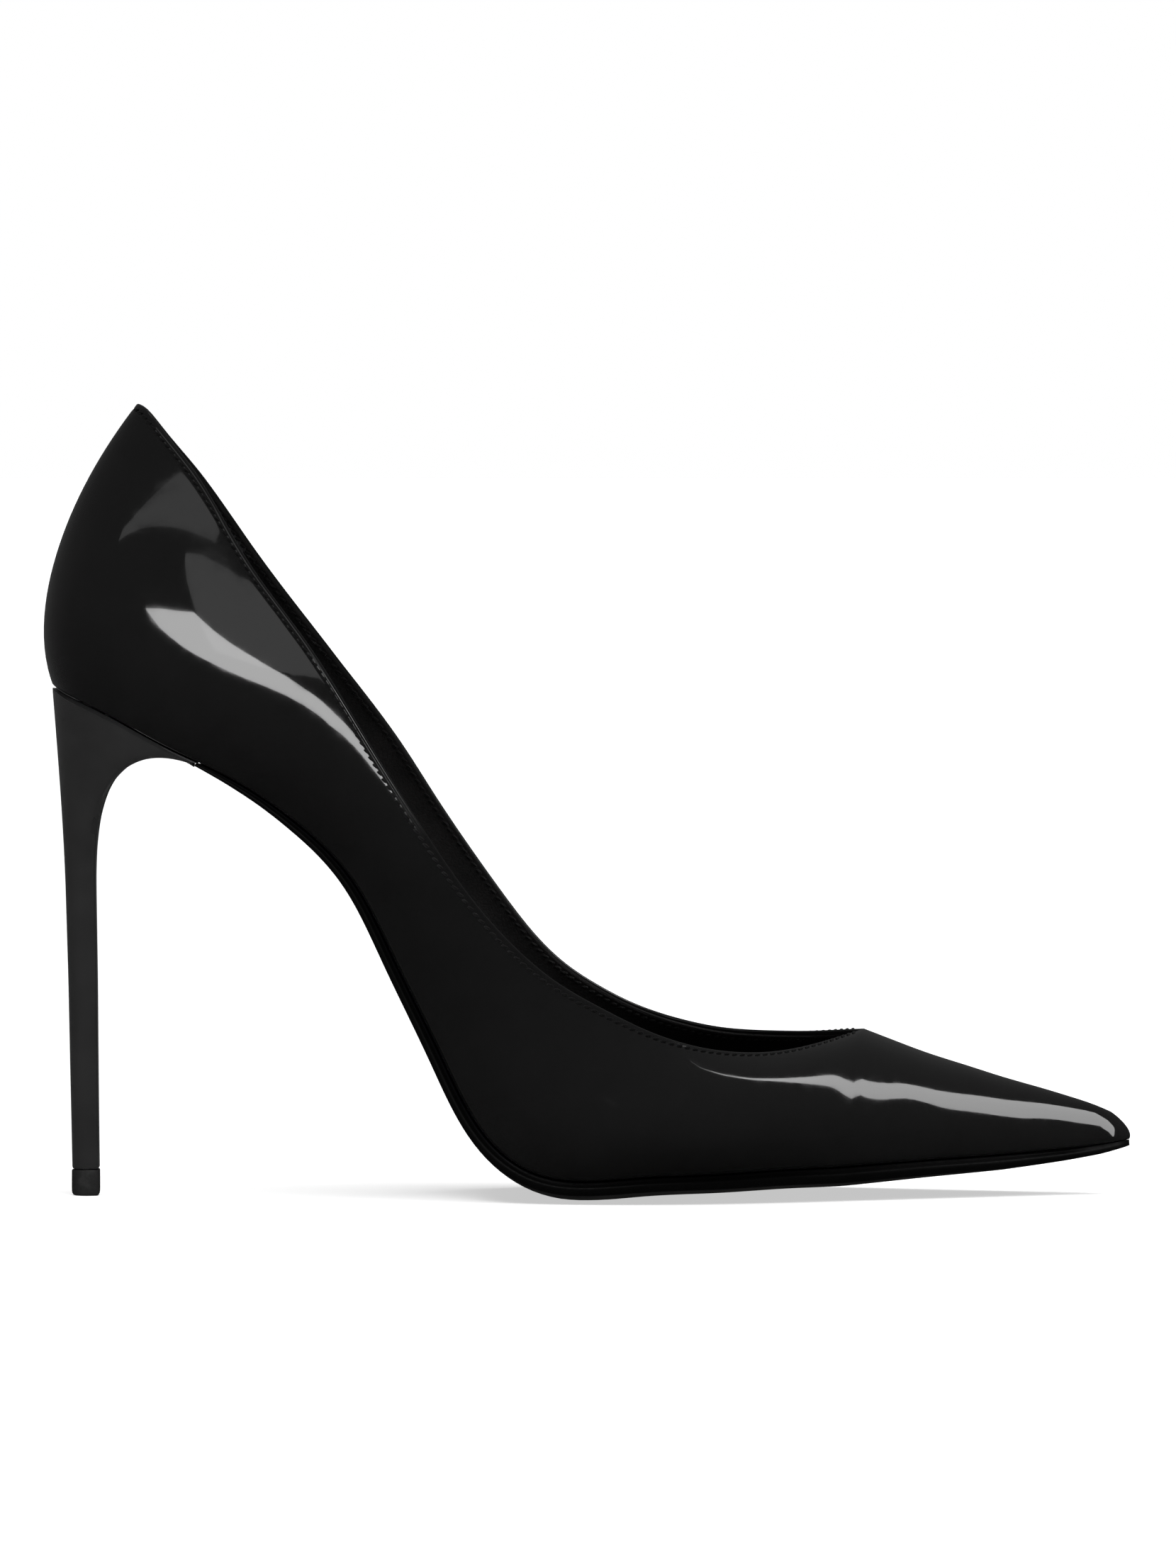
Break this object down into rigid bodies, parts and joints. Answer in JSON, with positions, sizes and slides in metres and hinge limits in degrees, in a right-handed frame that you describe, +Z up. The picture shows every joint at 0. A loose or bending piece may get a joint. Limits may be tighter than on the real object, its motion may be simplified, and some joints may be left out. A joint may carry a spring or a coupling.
{
  "type": "high heel pump",
  "caption": "Stiletto court shoe with a pointed toe, a low-cut topline and a slim covered heel, in black patent leather; a right shoe.",
  "frame": {"origin": "on the floor, under the middle of the shoe's bounding box", "axes": "+X to the toe, +Y to the inner (medial) side of the foot, +Z up"},
  "size_m": [0.2245, 0.0758, 0.1637],
  "materials": {
    "patent_leather": "black patent, mirror gloss over fine leather",
    "lining_leather": "black, matt, fine grain",
    "sock_leather": "black, matt, fine grain",
    "sole_leather": "black stained leather, semi matt, edge dressed",
    "stiffener_board": "thermoplastic stiffener, matt",
    "thread": "black bonded sewing thread",
    "tape": "woven reinforcing tape",
    "fibreboard": "pressed fibreboard, matt",
    "cork": "cork and latex filler, matt",
    "foam": "soft latex foam",
    "heel_plastic": "moulded plastic, satin",
    "top_lift_rubber": "black, matt",
    "steel": "plain steel, satin"
  },
  "bodies": {
    "root": {"upper": "patent_leather", "heel_cover": "patent_leather", "vamp_lining": "lining_leather", "quarter_lining_outer": "lining_leather", "quarter_lining_inner": "lining_leather", "heel_grip": "lining_leather", "topline_thread": "thread", "heel_counter": "stiffener_board", "toe_puff": "stiffener_board", "topline_tape": "tape", "insole_board": "fibreboard", "shank_board": "fibreboard", "steel_shank": "steel", "bottom_filler": "cork", "heel_cushion": "foam", "forefoot_cushion": "foam", "sock_lining": "sock_leather", "outsole": "sole_leather", "heel_core": "heel_plastic", "heel_tube": "steel", "top_lift": "top_lift_rubber", "top_lift_pin": "steel", "heel_screw": "steel", "heel_nail_1": "steel", "heel_nail_2": "steel", "heel_nail_3": "steel", "heel_nail_4": "steel", "shank_rivet_1": "steel", "shank_rivet_2": "steel"}
  },
  "joints": []
}
